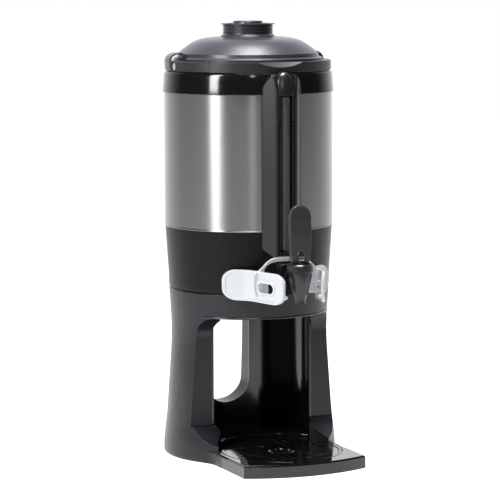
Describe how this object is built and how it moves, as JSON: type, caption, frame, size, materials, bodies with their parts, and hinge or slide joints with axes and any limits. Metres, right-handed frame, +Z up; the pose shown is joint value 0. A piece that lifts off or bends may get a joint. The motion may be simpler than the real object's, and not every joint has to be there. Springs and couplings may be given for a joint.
{
  "type": "gravity-flow thermal beverage dispenser",
  "caption": "Insulated brushed-steel drink dispenser with a domed brew-through lid, sight gauge and lever faucet, standing in a pedestal with a cup bay and a pull-out drip tray.",
  "frame": {"origin": "where the axis of the round body meets the surface that the stand rests on", "axes": "+Z up along the body's axis, -Y towards the faucet, +X to the right as seen by somebody facing the faucet"},
  "size_m": [0.234, 0.3265, 0.584],
  "materials": {
    "satin_black": "satin moulded plastic with a fine texture",
    "gloss_black": "polished moulded plastic",
    "brushed_steel": "stainless sheet brushed around the body",
    "plain_steel": "plain stainless",
    "black_rubber": "matt rubber",
    "silicone": "translucent silicone",
    "white_plastic": "satin white plastic",
    "natural_plastic": "natural plastic",
    "clear_tube": "clear tube",
    "red_float": "coloured float",
    "foam": "rigid foam"
  },
  "bodies": {
    "stand": {"stand_shell": "satin_black", "stand_liner": "gloss_black", "cavity_floor": "gloss_black", "base_plate": "satin_black", "foot_pads": "black_rubber", "base_bosses": "satin_black", "base_screws": "plain_steel", "rest_ring": "black_rubber"},
    "drip_tray": {"drip_tray": "gloss_black"},
    "drip_grille": {"drip_grille": "gloss_black"},
    "server": {"lower_housing": "satin_black", "bottom_cover": "satin_black", "cover_screws": "plain_steel", "flask_cradle": "satin_black", "flask_cushion": "black_rubber", "flask_outer": "plain_steel", "flask_inner": "plain_steel", "jacket_rings": "black_rubber", "steel_jacket": "brushed_steel", "upper_collar": "gloss_black", "neck_seal": "silicone", "outlet_pipe": "plain_steel", "outlet_gasket": "black_rubber", "column_housing": "satin_black", "column_screws": "plain_steel", "sight_tube": "clear_tube", "tube_seals": "black_rubber", "faucet_manifold": "satin_black", "faucet_shank": "plain_steel", "shank_washer": "black_rubber", "shank_nut": "plain_steel", "coupling_nut": "satin_black", "faucet_body": "satin_black", "faucet_bonnet": "satin_black", "faucet_spring": "plain_steel", "handle_pins": "plain_steel", "hinge_pin": "plain_steel"},
    "gauge_cap": {"gauge_cap": "satin_black"},
    "gauge_float": {"gauge_float": "red_float"},
    "valve_stem": {"faucet_stem": "plain_steel", "faucet_seat": "silicone", "lever_pin": "plain_steel"},
    "faucet_lever": {"faucet_lever": "satin_black"},
    "label_clip": {"label_clip": "white_plastic"},
    "bail_handle": {"handle_arms": "satin_black", "handle_grip": "satin_black"},
    "lid": {"lid_dome": "satin_black", "lid_liner": "white_plastic", "lid_insulation": "foam", "lid_gasket": "silicone", "lid_screws": "plain_steel", "brew_neck": "satin_black", "neck_lock_ring": "satin_black", "brew_funnel": "satin_black", "neck_seal_ring": "silicone", "mixing_tube": "natural_plastic"},
    "valve_ball": {"valve_ball": "white_plastic"}
  },
  "joints": [
    {"name": "tray_slide", "type": "slide", "parent": "stand", "child": "drip_tray", "axis": [0, -1, 0], "range_m": [0, 0.11]},
    {"name": "grille_lift", "type": "slide", "parent": "drip_tray", "child": "drip_grille", "axis": [0, 0, 1], "range_m": [0, 0.05]},
    {"name": "server_lift", "type": "slide", "parent": "stand", "child": "server", "axis": [0, 0, 1], "range_m": [0, 0.06]},
    {"name": "lid_hinge", "type": "hinge", "parent": "server", "child": "lid", "pos_m": [0, 0.118, 0.521], "axis": [-1, 0, 0], "range_deg": [0, 105]},
    {"name": "handle_pivot", "type": "hinge", "parent": "server", "child": "bail_handle", "pos_m": [0, -0.01, 0.525], "axis": [-1, 0, 0], "range_deg": [0, 90]},
    {"name": "cap_lift", "type": "slide", "parent": "server", "child": "gauge_cap", "axis": [0, 0, 1], "range_m": [0, 0.035]},
    {"name": "float_rise", "type": "slide", "parent": "server", "child": "gauge_float", "axis": [0, 0, 1], "range_m": [0, 0.175]},
    {"name": "stem_lift", "type": "slide", "parent": "server", "child": "valve_stem", "axis": [0, 0, 1], "range_m": [0, 0.003], "stiffness_N_per_m": 400, "deforming": ["faucet_spring"]},
    {"name": "lever_pull", "type": "hinge", "parent": "valve_stem", "child": "faucet_lever", "pos_m": [0, -0.168, 0.279], "axis": [1, 0, 0], "range_deg": [0, 25]},
    {"name": "clip_lift", "type": "slide", "parent": "server", "child": "label_clip", "axis": [0, 0, 1], "range_m": [0, 0.06]},
    {"name": "ball_rise", "type": "slide", "parent": "lid", "child": "valve_ball", "axis": [0, 0, 1], "range_m": [0, 0.055]}
  ],
  "couplings": [
    {"joint": "lever_pull", "follows": "stem_lift", "rad_per_m": 145.44}
  ]
}
